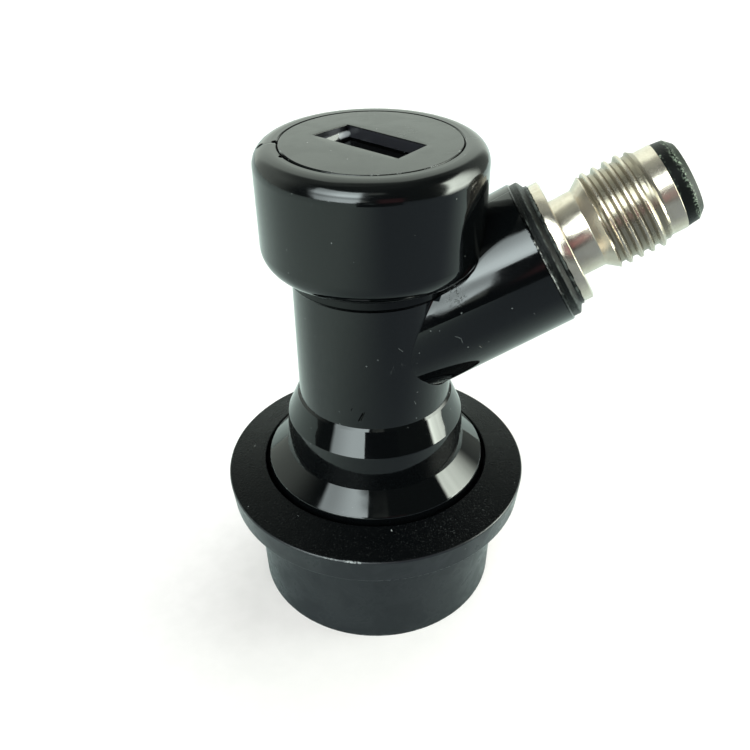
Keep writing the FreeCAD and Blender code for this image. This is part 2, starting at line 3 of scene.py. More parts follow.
import bmesh
import bpy
import numpy as np
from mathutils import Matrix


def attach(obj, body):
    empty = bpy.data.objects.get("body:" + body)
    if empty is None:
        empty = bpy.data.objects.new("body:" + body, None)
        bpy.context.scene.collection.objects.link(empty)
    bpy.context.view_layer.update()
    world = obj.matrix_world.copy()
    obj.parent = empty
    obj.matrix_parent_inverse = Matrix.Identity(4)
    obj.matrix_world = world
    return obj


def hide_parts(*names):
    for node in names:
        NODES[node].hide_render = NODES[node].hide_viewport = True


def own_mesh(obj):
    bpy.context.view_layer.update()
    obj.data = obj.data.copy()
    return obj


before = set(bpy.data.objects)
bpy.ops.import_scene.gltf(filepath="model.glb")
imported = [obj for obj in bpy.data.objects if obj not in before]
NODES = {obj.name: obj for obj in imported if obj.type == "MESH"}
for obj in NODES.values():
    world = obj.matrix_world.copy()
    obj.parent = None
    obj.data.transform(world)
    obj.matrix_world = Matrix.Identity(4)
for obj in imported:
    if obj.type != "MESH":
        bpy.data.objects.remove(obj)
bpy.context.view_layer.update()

# Looks for the ball lock coupling: black mouldings, a plated outlet with a cut thread, steel
# springs and balls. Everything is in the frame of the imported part: +Z is up along the socket, and
# the arm rises towards +X. Sizes are given in millimetres where no other unit is named, and the
# scene is in metres.

MM = 0.001

# Outlet, as stations along the arm and radii about it
ARM_RISE = math.radians(29.3)
ARM_AXIS_HEIGHT = 34.56
BORE_R = 3.65
FLANGE_R = 7.05
FLANGE_FROM = 23.2
FLANGE_TO = 24.45
NECK_R = 4.5
THREAD_PITCH = 1.27
THREAD_CREST_R = 5.555
THREAD_ROOT_R = 5.06
THREAD_FROM = 28.2
THREAD_FROM_R = 5.4
THREAD_TO = 34.9
THREAD_LEAD = 28.34
NOSE_R = 4.88
NOSE_BORE_TO = 36.2
NOSE_TO = 36.25
OUTLET_EASE = 0.08
OUTLET_COLUMNS = 192

# One turn of a thread: fraction of the pitch from the crest's middle, and depth, 0 at the crest
THREAD_PROFILE = ((-0.5, 1.0), (-0.34, 1.0), (-0.31, 0.94), (-0.11, 0.06), (-0.085, 0.0),
                  (0.085, 0.0), (0.11, 0.06), (0.31, 0.94), (0.34, 1.0))
THREAD_FADE = 0.35

# Cap: thread, edge, and the driver slot as rings of corners: along it, across it, and depth. One
# end is worn open at a corner, and its wall leans lower down
CAP_TOP = 58.2
CAP_DISC_R = 9.3
CAP_FLAT_R = 9.37
CAP_EDGE_R = 9.49
CAP_EDGE_ROUND = 0.12
CAP_PITCH = 1.4
CAP_CREST_R = 9.0
CAP_ROOT_R = 8.45
CAP_THREAD_FOOT = 49.6
CAP_THREAD_TOP = 55.2
CAP_THREAD_FOOT_R = 8.7
CAP_UNDERSIDE = ((6.18, 49.6), (6.1, 49.5), (6.1, 47.7), (6.0, 47.6), (5.1, 47.6), (5.0, 47.7), (5.0, 51.5),
                 (4.9, 51.6), (2.5, 51.6), (0.0, 51.6))
CAP_COLUMNS = 384
SLOT_ANGLE = math.radians(-42.0)
SLOT_EDGE_ROUND = 0.08
SLOT_RINGS = (
    ((5.35, -2.35, 0.0), (5.35, 2.35, 0.0), (-5.16, 2.35, 0.0), (-5.85, -2.35, 0.0)),
    ((5.34, -2.34, 0.34), (5.34, 2.34, 0.34), (-5.14, 2.34, 0.62), (-5.3, -2.34, 0.34)),
    ((5.31, -2.32, 0.92), (5.31, 2.32, 0.92), (-4.84, 2.33, 1.2), (-4.95, -2.32, 0.92)),
    ((5.28, -2.3, 1.45), (5.28, 2.3, 1.45), (-4.84, 2.3, 1.45), (-4.95, -2.3, 1.45)))

# Springs: mean radius, wire radius, lowest and highest point, and turns
COLLAR_SPRING = (12.925, 0.5, 7.22, 15.98, 4.6)
VALVE_SPRING = (4.2, 0.4, 38.28, 51.58, 7.4)

# Worn rims: radius and height of the circle about its axis, width, and wear from 0 to 1
BODY_RIMS = ((9.56, 45.0, 0.16, 0.35), (9.3, 27.83, 0.14, 0.35), (10.58, 24.95, 0.14, 0.3),
             (13.4, 18.47, 0.16, 0.3))
ARM_RIMS = ((8.3, 21.55, 0.16, 0.4),)
END_RING_RIMS = ((8.05, 21.6, 0.2, 0.5), (8.05, 22.45, 0.24, 0.6), (7.2, 23.15, 0.3, 0.6),
                 (7.2, 22.5, 0.15, 0.5))
CAP_RIMS = ((9.42, CAP_TOP, 0.2, 0.4),)
COLLAR_RIMS = ((18.64, 16.72, 0.2, 0.3), (18.3, 13.4, 0.2, 0.55), (15.14, 0.1, 0.25, 0.5))
TIP_RIMS = ((4.65, 37.6, 0.5, 0.66), (4.8, 36.4, 0.2, 0.5), (3.9, 38.35, 0.3, 0.4))

# Marks: chips as points with a reach, the others as strokes from point to point with a reach
RIM_CHIPS = (((-9.65, 0.35, 58.2), 0.75), ((-8.75, -3.9, 58.2), 0.75), ((-11.45, 0.2, 58.05), 0.8),
             ((-11.85, -2.9, 57.8), 0.6), ((11.85, -1.4, 58.0), 0.5))
BODY_CUTS = (
    ((-1.68, -8.89, 30.27), (-2.15, -8.79, 29.16), 0.1),
    ((-1.49, -8.93, 30.36), (-1.93, -8.84, 29.19), 0.07),
    ((-2.85, -8.59, 30.75), (-2.95, -8.56, 30.5), 0.07), ((11.1, -7.95, 38.05), (11.35, -7.87, 37.8), 0.09))
BODY_HAIRS = (
    ((2.27, -8.76, 38.57), (2.74, -8.62, 38.09), 0.06), ((0.03, -9.05, 37.42), (0.05, -9.05, 37.38), 0.1),
    ((4.12, -8.06, 31.05), (4.3, -7.96, 30.58), 0.05), ((8.33, -8.3, 39.56), (8.95, -8.28, 39.3), 0.06),
    ((8.95, -8.28, 39.3), (9.15, -8.26, 38.73), 0.06), ((-3.69, -9.51, 25.15), (-3.6, -9.55, 25.1), 0.1),
    ((-1.4, -10.1, 25.09), (-1.3, -10.12, 25.05), 0.09), ((-6.92, -7.49, 19.63), (-6.8, -7.6, 19.6), 0.1))
ARM_ROOT_RUB = ((6.9, -7.5, 42.4), (9.0, -7.1, 44.6), 1.2)
COLLAR_SCRAPES = (
    ((-4.4, -18.1, 16.7), (-2.6, -18.45, 16.7), 0.22), ((-6.6, -17.4, 16.72), (-5.2, -17.9, 16.72), 0.12))
# Painted highlight on the slot's leaning end wall: a stroke from point to point with a reach
SLOT_PAINTED_HIGHLIGHT = ((-3.05, 4.05, 57.35), (-2.3, 4.9, 57.3), 0.4)

# Painted shade on the neck under the head: foot and top of each dark band, and how dark it is
NECK_SHADE_BANDS = ((43.18, 43.8, 1.0), (43.8, 44.78, 0.4), (44.78, 45.04, 1.0))

# Where the joint round the cap is painted dark, as the shade of an open gap: from and to, in degrees about
# +Z, and softness
SHADED_JOINT = (-158.0, -118.0, 6.0)

# How far the normals lean on the chips and the shaded joint, and on the waist between the cones
CHIP_LEAN = (0.0, -0.9, 0.0)
WAIST_LEAN = (0.0, 0.0, -0.075)

# Dark card: its outline over X and Z, and where it stands on Y
CARD_OUTLINE = ((-21.7, 91.5), (-16.0, 81.0), (-7.5, 63.0), (0.4, 45.0), (-4.0, 47.0), (-8.3, 49.2),
                (-12.3, 50.5), (-22.5, 61.0), (-27.0, 61.0), (-25.0, 34.0), (45.0, 34.0), (45.0, 106.0),
                (-13.0, 94.0))
CARD_AT = -95.6

# Studio seen from the part: spans of azimuth about +Z from +X, and of height above the floor, in degrees
BACKDROP_AZIMUTHS = (56.0, 128.0)
RIGHT_WALL_AZIMUTHS = (30.0, 56.0)
STRIP_AZIMUTHS = (-103.0, -95.0)
STRIP_HEIGHTS = (5.0, 18.0)
LINTEL_AZIMUTHS = (-97.0, -78.0)
LINTEL_HEIGHTS = (43.0, 52.0)
LEFT_WINDOW_HEIGHTS = (-3.0, 53.3)
RIGHT_WINDOW_HEIGHTS = (-14.0, 37.5)

# Camera: place, turn in degrees, and focal length for a sensor 36 mm wide
CAMERA_PLACE = (-3.37, -85.67, 88.02)
CAMERA_TURN = (55.5927, 0.7029, -2.7825)
CAMERA_LENS = 41.385


# Meshes

def grid_mesh(name, points, around):
    """A mesh of quads over a grid of points. A point joins the next one in its row and in its
    column, and around closes each row on itself."""
    rows, columns = points.shape[:2]
    down = np.arange(rows - 1)[:, None] * columns
    across = np.arange(columns if around else columns - 1)[None, :]
    next_across = (across + 1) % columns
    corners = [down + across, down + next_across, down + columns + next_across, down + columns + across]
    faces = np.stack(corners, axis=-1).reshape(-1, 4)
    mesh = bpy.data.meshes.new(name)
    mesh.from_pydata(points.reshape(-1, 3) * MM, [], faces.tolist())
    return mesh


def joined(name, grids):
    """One mesh from several grids, each given with whether its rows close on themselves."""
    whole = bmesh.new()
    for points, around in grids:
        part = grid_mesh(name, points, around)
        whole.from_mesh(part)
        bpy.data.meshes.remove(part)
    mesh = bpy.data.meshes.new(name)
    whole.to_mesh(mesh)
    whole.free()
    return mesh


def finished(mesh, body, material, crease):
    """A piece from a mesh: doubles merged, faces turned outwards, smooth but for creases."""
    work = bpy.data.objects.new(mesh.name, mesh)
    bpy.context.scene.collection.objects.link(work)
    shape = bmesh.new()
    shape.from_mesh(mesh)
    bmesh.ops.remove_doubles(shape, verts=shape.verts, dist=1e-7)
    bmesh.ops.dissolve_degenerate(shape, edges=shape.edges, dist=1e-7)
    bmesh.ops.recalc_face_normals(shape, faces=shape.faces)
    shape.to_mesh(mesh)
    shape.free()
    mesh.shade_smooth()
    mesh.set_sharp_from_angle(angle=math.radians(crease))
    mesh.materials.append(material)
    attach(work, body)
    return work


def eased(outline, ease, steps=4):
    """The outline without its two end corners, and each other corner replaced by an arc that
    leaves its two sides at the distance ease, or at a third of the shorter side:
    p(t) = (1-t)^2 a + 2t(1-t) corner + t^2 b."""
    corner = np.asarray(outline, float)
    back = np.roll(corner, 1, axis=0) - corner
    ahead = np.roll(corner, -1, axis=0) - corner
    back_length = np.linalg.norm(back, axis=1, keepdims=True)
    ahead_length = np.linalg.norm(ahead, axis=1, keepdims=True)
    reach = np.minimum(ease, np.minimum(back_length, ahead_length) / 3.0)
    start = corner + back / back_length * reach
    end = corner + ahead / ahead_length * reach
    t = np.linspace(0.0, 1.0, steps)[None, :, None]
    arc = (1 - t) ** 2 * start[:, None] + 2 * t * (1 - t) * corner[:, None] + t ** 2 * end[:, None]
    return arc[1:-1].reshape(-1, 2)


def turned(outline, columns):
    """Grid of an outline of radius and height turned about +Z: (r cos a, r sin a, h)."""
    outline = np.asarray(outline, float)
    angle = np.linspace(0.0, 2.0 * math.pi, columns, endpoint=False)[None, :]
    radius = outline[:, 0][:, None]
    height = np.broadcast_to(outline[:, 1][:, None], (len(outline), columns))
    return np.stack([radius * np.cos(angle), radius * np.sin(angle), height], axis=-1)


def on_arm(points):
    """Points about +Z moved to the arm: z runs out along it, x points down and y stays."""
    x, y, z = points[..., 0], points[..., 1], points[..., 2]
    out = x * math.sin(ARM_RISE) + z * math.cos(ARM_RISE)
    up = ARM_AXIS_HEIGHT - x * math.cos(ARM_RISE) + z * math.sin(ARM_RISE)
    return np.stack([out, y, up], axis=-1)


def thread_grid(envelope, start, end, pitch, lead, crest_r, root_r, columns):
    """Grid of a right hand thread about +Z. A row follows the helix h = v + pitch a / 2pi, held
    between start and end. Its radius is the profile's, with a crest at lead and at each pitch
    from it, fading in from both ends, and never more than the envelope's at h."""
    first = int(math.floor((start - lead) / pitch)) - 1
    last = int(math.ceil((end - lead) / pitch)) + 1
    rows = [(lead + pitch * (turn + part), depth)
            for turn in range(first, last) for part, depth in THREAD_PROFILE]
    v, depth = np.array(rows).T
    angle = np.linspace(0.0, 2.0 * math.pi, columns + 1)
    height = np.clip(v[:, None] + pitch * angle[None, :] / (2.0 * math.pi), start, end)
    fade = np.clip(np.minimum(height - start, end - height) / THREAD_FADE, 0.0, 1.0)
    radius = np.minimum(crest_r - (crest_r - root_r) * depth[:, None] * fade,
                        np.interp(height, envelope[:, 1], envelope[:, 0]))
    return np.stack([radius * np.cos(angle), radius * np.sin(angle), height], axis=-1)


def side_parts(corners, angle):
    """For columns at even angles, the side of the first outline that each one lies on and how
    far along it. A side runs between the columns nearest its corners. A column at the angle a
    lies at (tan(a - n) - tan(a0 - n)) / (tan(a1 - n) - tan(a0 - n)), n being the normal's angle."""
    corner = np.asarray(corners, float)
    step = 2.0 * math.pi / len(angle)
    towards = np.unwrap(np.arctan2(corner[:, 1], corner[:, 0]))
    first = np.round((towards - angle[0]) / step).astype(int)
    last = np.append(first[1:], first[0] + len(angle))
    side, part = np.zeros(len(angle), int), np.zeros(len(angle))
    for index, (start, end) in enumerate(zip(first, last)):
        along = np.roll(corner, -index - 1, axis=0)[0] - corner[index]
        normal = math.atan2(-along[0], along[1])
        column = np.arange(start, end)
        slope = np.tan(angle[0] + step * np.append(column, end) - normal)
        side[column % len(angle)] = index
        part[column % len(angle)] = (slope[:-1] - slope[0]) / (slope[-1] - slope[0])
    return side, part


def ring_points(corners, side, part):
    """The point of an outline in space at each column's side and part."""
    first = np.asarray(corners, float)
    second = np.roll(first, -1, axis=0)
    return first[side] + part[:, None] * (second - first)[side]


def coil_grid(mean_r, wire_r, low, high, turns, closed_turns=0.85, sides=20, per_turn=72):
    """Grid of a compression spring. Its centre line is (R cos a, R sin a, z(a)): z climbs
    gently over the closed end turns and evenly between them. The wire is a circle of wire_r in
    the plane of the radius and the axis, and shrinks to a point at both ends."""
    t = np.linspace(0.0, 1.0, int(turns * per_turn))
    t = np.concatenate([t[:1], t, t[-1:]])
    opened = np.clip(np.minimum(t, 1.0 - t) / (closed_turns / turns), 0.0, 1.0)
    pace = 0.1 + 0.9 * opened ** 2
    climb = np.concatenate([[0.0], np.cumsum(np.diff(t) * (pace[1:] + pace[:-1]))])
    z = low + wire_r + (high - low - 2.0 * wire_r) * climb / climb[-1]
    angle = 2.0 * math.pi * turns * t
    side = np.linspace(0.0, 2.0 * math.pi, sides, endpoint=False)[None, :]
    thick = np.full_like(t, wire_r)
    thick[[0, -1]] = 0.0
    ring_r = mean_r + thick[:, None] * np.cos(side)
    return np.stack([ring_r * np.cos(angle)[:, None], ring_r * np.sin(angle)[:, None],
                     z[:, None] + thick[:, None] * np.sin(side)], axis=-1)


# Shader nodes

def feed(tree, node, inputs):
    """A node's inputs, each set to a number or linked to a socket."""
    for key, value in inputs.items():
        if isinstance(value, bpy.types.NodeSocket):
            tree.links.new(value, node.inputs[key])
        else:
            node.inputs[key].default_value = value


def add(tree, kind, inputs=None, **settings):
    """One node in a tree, with its settings and its inputs."""
    new = tree.nodes.new(kind)
    for key, value in settings.items():
        setattr(new, key, value)
    feed(tree, new, inputs or {})
    return new


def maths(tree, operation, *values):
    """The result of one Math node."""
    return add(tree, "ShaderNodeMath", dict(enumerate(values)), operation=operation).outputs[0]


def chained(tree, operation, values):
    """The result of Math nodes in a row, each taking in one more value."""
    result = values[0]
    for value in values[1:]:
        result = maths(tree, operation, result, value)
    return result


def times(tree, *values):
    """The product of several values."""
    return chained(tree, "MULTIPLY", values)


def plus(tree, *values):
    """The sum of several values."""
    return chained(tree, "ADD", values)


def most(tree, *masks):
    """The largest of several masks."""
    return chained(tree, "MAXIMUM", masks)


def minus(tree, first, second):
    """The first value less the second."""
    return maths(tree, "SUBTRACT", first, second)


def vector_maths(tree, operation, *vectors, **scale):
    """The result of one Vector Math node: a number for a dot product, distance or length."""
    new = add(tree, "ShaderNodeVectorMath", {**dict(enumerate(vectors)), **scale}, operation=operation)
    return new.outputs["Value" if operation in ("DOT_PRODUCT", "DISTANCE", "LENGTH") else "Vector"]


def split(tree, vector):
    """The three parts of a vector."""
    return add(tree, "ShaderNodeSeparateXYZ", {"Vector": vector}).outputs


def degrees_about_z(tree, x, y):
    """The angle of x and y about +Z from +X, in degrees."""
    return maths(tree, "DEGREES", maths(tree, "ARCTAN2", y, x))


def ramp(tree, value, low, high, to_low=0.0, to_high=1.0):
    """A value mapped smoothly from low..high to to_low..to_high, held beyond both ends."""
    inputs = {"Value": value, "From Min": low, "From Max": high, "To Min": to_low, "To Max": to_high}
    return add(tree, "ShaderNodeMapRange", inputs, interpolation_type="SMOOTHSTEP").outputs["Result"]


def ramp_mm(tree, length, low, high, to_low=0.0, to_high=1.0):
    """The ramp of a length in metres, with its two ends given in millimetres."""
    return ramp(tree, length, low * MM, high * MM, to_low, to_high)


def window(tree, value, low, high, soft):
    """1 where a value lies between low and high, with edges as soft as twice the softness."""
    rise = ramp(tree, value, low - soft, low + soft)
    return times(tree, rise, ramp(tree, value, high + soft, high - soft))


def window_mm(tree, length, low, high, soft):
    """The window of a length in metres, with its limits given in millimetres."""
    return window(tree, length, low * MM, high * MM, soft * MM)


def mix_values(tree, mask, first, second):
    """The first value where the mask is 0, and the second where it is 1."""
    return add(tree, "ShaderNodeMix", {"Factor": mask, 2: first, 3: second}).outputs[0]


def mix_colours(tree, mask, first, second):
    """The first colour where the mask is 0, and the second where it is 1."""
    inputs = {"Factor": mask}
    for key, value in ((6, first), (7, second)):
        inputs[key] = (*value, 1.0) if isinstance(value, tuple) else value
    return add(tree, "ShaderNodeMix", inputs, data_type="RGBA").outputs[2]


def noise(tree, place, scale, detail, roughness=0.5):
    """A noise over a place, from 0 to 1."""
    return add(tree, "ShaderNodeTexNoise", {"Vector": place, "Scale": scale, "Detail": detail,
                                            "Roughness": roughness}).outputs["Fac"]


def tool_lines(tree, length, detail, roughness=0.5):
    """Fine turned lines: a noise along one length, from 0 to 1."""
    return add(tree, "ShaderNodeTexNoise", {"W": length, "Scale": 9000.0, "Detail": detail,
                                            "Roughness": roughness}, noise_dimensions="1D").outputs["Fac"]


def bumped(tree, height, depth, **normal):
    """The normal of a height, with a depth in metres, on the surface's normal or a given one."""
    return add(tree, "ShaderNodeBump", {"Height": height, "Distance": depth, **normal}).outputs["Normal"]


# Node groups

def group(name, inputs, *outputs):
    """An empty node group with named inputs, each a default number or a vector, and with named
    outputs, which are numbers but for a Normal."""
    tree = bpy.data.node_groups.new(name, "ShaderNodeTree")
    for key, value in inputs.items():
        kind = "NodeSocketFloat" if isinstance(value, float) else "NodeSocketVector"
        socket = tree.interface.new_socket(name=key, in_out="INPUT", socket_type=kind)
        if isinstance(value, float):
            socket.default_value = value
    for key in outputs:
        kind = "NodeSocketVector" if key == "Normal" else "NodeSocketFloat"
        tree.interface.new_socket(name=key, in_out="OUTPUT", socket_type=kind)
    given = tree.nodes.new("NodeGroupInput").outputs
    result = tree.nodes.new("NodeGroupOutput").inputs
    return tree, given, result


def use(tree, name, inputs):
    """The outputs of a node group placed in a tree."""
    return add(tree, "ShaderNodeGroup", inputs, node_tree=bpy.data.node_groups[name]).outputs


def build_specks():
    """Dust: in cells of a given size, a few hold one small light grain of uneven shape and size."""
    inputs = {"Vector": (), "Cell": 1.0, "Share": 0.2, "Grain": 0.08}
    tree, given, result = group("dust specks", inputs, "Mask")
    place = vector_maths(tree, "SCALE", given["Vector"], Scale=maths(tree, "DIVIDE", 1.0, given["Cell"]))
    wobble = add(tree, "ShaderNodeTexNoise", {"Vector": place, "Scale": 11.0, "Detail": 2.0})
    moved = vector_maths(tree, "MULTIPLY_ADD", wobble.outputs["Color"], (0.22, 0.22, 0.22), place)
    cells = add(tree, "ShaderNodeTexVoronoi", {"Vector": moved, "Scale": 1.0}).outputs
    chosen = add(tree, "ShaderNodeSeparateColor", {"Color": cells["Color"]}).outputs
    grain = times(tree, given["Grain"], plus(tree, 0.35, chosen[1]))
    near = ramp(tree, maths(tree, "DIVIDE", cells["Distance"], grain), 1.1, 0.8)
    kept = maths(tree, "LESS_THAN", chosen[0], given["Share"])
    faint = ramp(tree, chosen[2], 0.0, 1.0, 0.25, 1.0)
    tree.links.new(times(tree, near, kept, faint), result["Mask"])


def build_scratches():
    """Fine scratches: thin bands of a noise stretched along one direction, broken by patches."""
    inputs = {"Vector": (), "Stretch": (), "Thin": 0.02, "Share": 0.5}
    tree, given, result = group("fine scratches", inputs, "Mask")
    place = vector_maths(tree, "MULTIPLY", given["Vector"], given["Stretch"])
    offset = maths(tree, "ABSOLUTE", minus(tree, noise(tree, place, 1.0, 3.0), 0.5))
    thin = ramp(tree, maths(tree, "DIVIDE", offset, given["Thin"]), 1.0, 0.2)
    patches = noise(tree, given["Vector"], 190.0, 2.0)
    limit = minus(tree, 0.85, times(tree, given["Share"], 0.6))
    kept = ramp(tree, minus(tree, patches, limit), 0.0, 0.08)
    tree.links.new(times(tree, thin, kept), result["Mask"])


def build_smudges():
    """Uneven gloss: soft patches, as a value from 0 to 1."""
    tree, given, result = group("smudges", {"Vector": (), "Scale": 150.0}, "Value")
    broad = add(tree, "ShaderNodeTexNoise", {"Vector": given["Vector"], "Scale": given["Scale"],
                                             "Detail": 4.0, "Roughness": 0.62, "Distortion": 0.4})
    tree.links.new(ramp(tree, broad.outputs["Fac"], 0.34, 0.68), result["Value"])


def build_grain():
    """Moulded or blasted grain: a fine noise as a bump, added to the normal that comes in."""
    inputs = {"Vector": (), "Scale": 4000.0, "Depth": 0.00001, "Normal": ()}
    tree, given, result = group("surface grain", inputs, "Normal")
    fine = noise(tree, given["Vector"], given["Scale"], 3.0, 0.6)
    tree.links.new(bumped(tree, fine, given["Depth"], Normal=given["Normal"]), result["Normal"])


def build_turned_place():
    """Radius about the vector's z axis, height along it, and angle about it in degrees."""
    tree, given, result = group("turned place", {"Vector": ()}, "Radius", "Height", "Angle")
    x, y, z = split(tree, given["Vector"])
    flat = add(tree, "ShaderNodeCombineXYZ", {"X": x, "Y": y}).outputs[0]
    tree.links.new(vector_maths(tree, "LENGTH", flat), result["Radius"])
    tree.links.new(z, result["Height"])
    tree.links.new(degrees_about_z(tree, x, y), result["Angle"])


def build_rim():
    """A worn rim: 1 on the circle of a given radius and height, falling to 0 at a width from
    it, and broken up along its length."""
    inputs = {"Vector": (), "Radius": 0.0, "Height": 0.0, "Rim radius": 0.01, "Rim height": 0.01,
              "Width": 0.0003, "Wear": 0.5}
    tree, given, result = group("worn rim", inputs, "Mask")
    across = minus(tree, given["Radius"], given["Rim radius"])
    along = minus(tree, given["Height"], given["Rim height"])
    distance = maths(tree, "SQRT", plus(tree, times(tree, across, across), times(tree, along, along)))
    near = ramp(tree, maths(tree, "DIVIDE", distance, given["Width"]), 1.0, 0.0)
    broken = noise(tree, given["Vector"], 900.0, 4.0, 0.7)
    limit = minus(tree, 0.8, times(tree, given["Wear"], 0.6))
    kept = ramp(tree, minus(tree, broken, limit), 0.0, 0.14)
    tree.links.new(times(tree, near, kept), result["Mask"])


for build in (build_specks, build_scratches, build_smudges, build_grain, build_turned_place, build_rim):
    build()


# Masks and values over the part

def turned_place(tree, place):
    """Radius, height and angle of a place about its z axis."""
    return use(tree, "turned place", {"Vector": place})


def arm_place(tree, place):
    """Radius and angle about the arm, and height along it from the socket's axis."""
    down = (0.0, 0.0, -ARM_AXIS_HEIGHT * MM)
    turn = (0.0, ARM_RISE - math.pi / 2.0, 0.0)
    moved = add(tree, "ShaderNodeMapping", {"Vector": place, "Location": down}).outputs[0]
    return turned_place(tree, add(tree, "ShaderNodeMapping", {"Vector": moved, "Rotation": turn}).outputs[0])


def dust(tree, place, cell, share, grain):
    """Specks in a share of cells of a size in metres, with a grain as a share of the cell."""
    given = {"Vector": place, "Cell": cell, "Share": share, "Grain": grain}
    return use(tree, "dust specks", given)["Mask"]


def scratches(tree, place, stretch, thin, share):
    """Fine scratches along the axis that is stretched least."""
    given = {"Vector": place, "Stretch": stretch, "Thin": thin, "Share": share}
    return use(tree, "fine scratches", given)["Mask"]


def smudges(tree, place, scale):
    """Soft patches, from 0 to 1."""
    return use(tree, "smudges", {"Vector": place, "Scale": scale})["Value"]


def grained(tree, place, scale, depth, **normal):
    """The normal with a fine grain of a depth in metres."""
    return use(tree, "surface grain", {"Vector": place, "Scale": scale, "Depth": depth, **normal})["Normal"]


def worn_rims(tree, place, where, rims):
    """Worn rims on circles about the axis that where measures from."""
    given = {"Vector": place, "Radius": where["Radius"], "Height": where["Height"]}
    return most(tree, *(use(tree, "worn rim", {
        **given, "Rim radius": radius * MM, "Rim height": height * MM, "Width": width * MM,
        "Wear": wear})["Mask"] for radius, height, width, wear in rims))


def near_point(tree, place, centre, reach):
    """1 at a point of the object, falling to 0 at a reach from it."""
    apart = vector_maths(tree, "DISTANCE", place, tuple(MM * c for c in centre))
    return ramp_mm(tree, apart, reach, 0.0)


def near_stroke(tree, place, start, end, reach):
    """1 on the line between two points, falling to 0 at a reach from it."""
    start, end = np.array(start) * MM, np.array(end) * MM
    along = end - start
    from_start = vector_maths(tree, "SUBTRACT", place, tuple(start))
    part = vector_maths(tree, "DOT_PRODUCT", from_start, tuple(along / (along @ along)))
    held = add(tree, "ShaderNodeClamp", {"Value": part}).outputs[0]
    nearest = vector_maths(tree, "SCALE", tuple(along), Scale=held)
    return ramp_mm(tree, vector_maths(tree, "DISTANCE", from_start, nearest), reach, 0.35 * reach)


def near_strokes(tree, place, strokes):
    """1 on each of several lines."""
    return most(tree, *(near_stroke(tree, place, *stroke) for stroke in strokes))


def leaning_normal(tree, *leans):
    """The surface's normal in object coordinates, leaning by each vector as far as its mask says."""
    normal = tree.nodes.new("ShaderNodeTexCoord").outputs["Normal"]
    for mask, vector in leans:
        normal = vector_maths(tree, "ADD", normal, vector_maths(tree, "SCALE", vector, Scale=mask))
    return vector_maths(tree, "NORMALIZE", normal)


def without_gloss(tree, dark, light):
    """The Metallic value that takes the gloss off the black where the dark mask is 1, and leaves
    light marks there matt: a metal as black as this plastic hardly reflects."""
    return times(tree, dark, minus(tree, 1.0, light))


# Materials

def new_material(name, colour, roughness, metallic=0.0, specular=0.5):
    """A material with its Principled BSDF and the place on the object, in object coordinates."""
    material = bpy.data.materials.new(name)
    material.use_nodes = True
    tree = material.node_tree
    shader = tree.nodes["Principled BSDF"]
    feed(tree, shader, {
        "Base Color": (*colour, 1.0), "Roughness": roughness, "Metallic": metallic,
        "Specular IOR Level": specular})
    place = tree.nodes.new("ShaderNodeTexCoord").outputs["Object"]
    return material, tree, shader, place


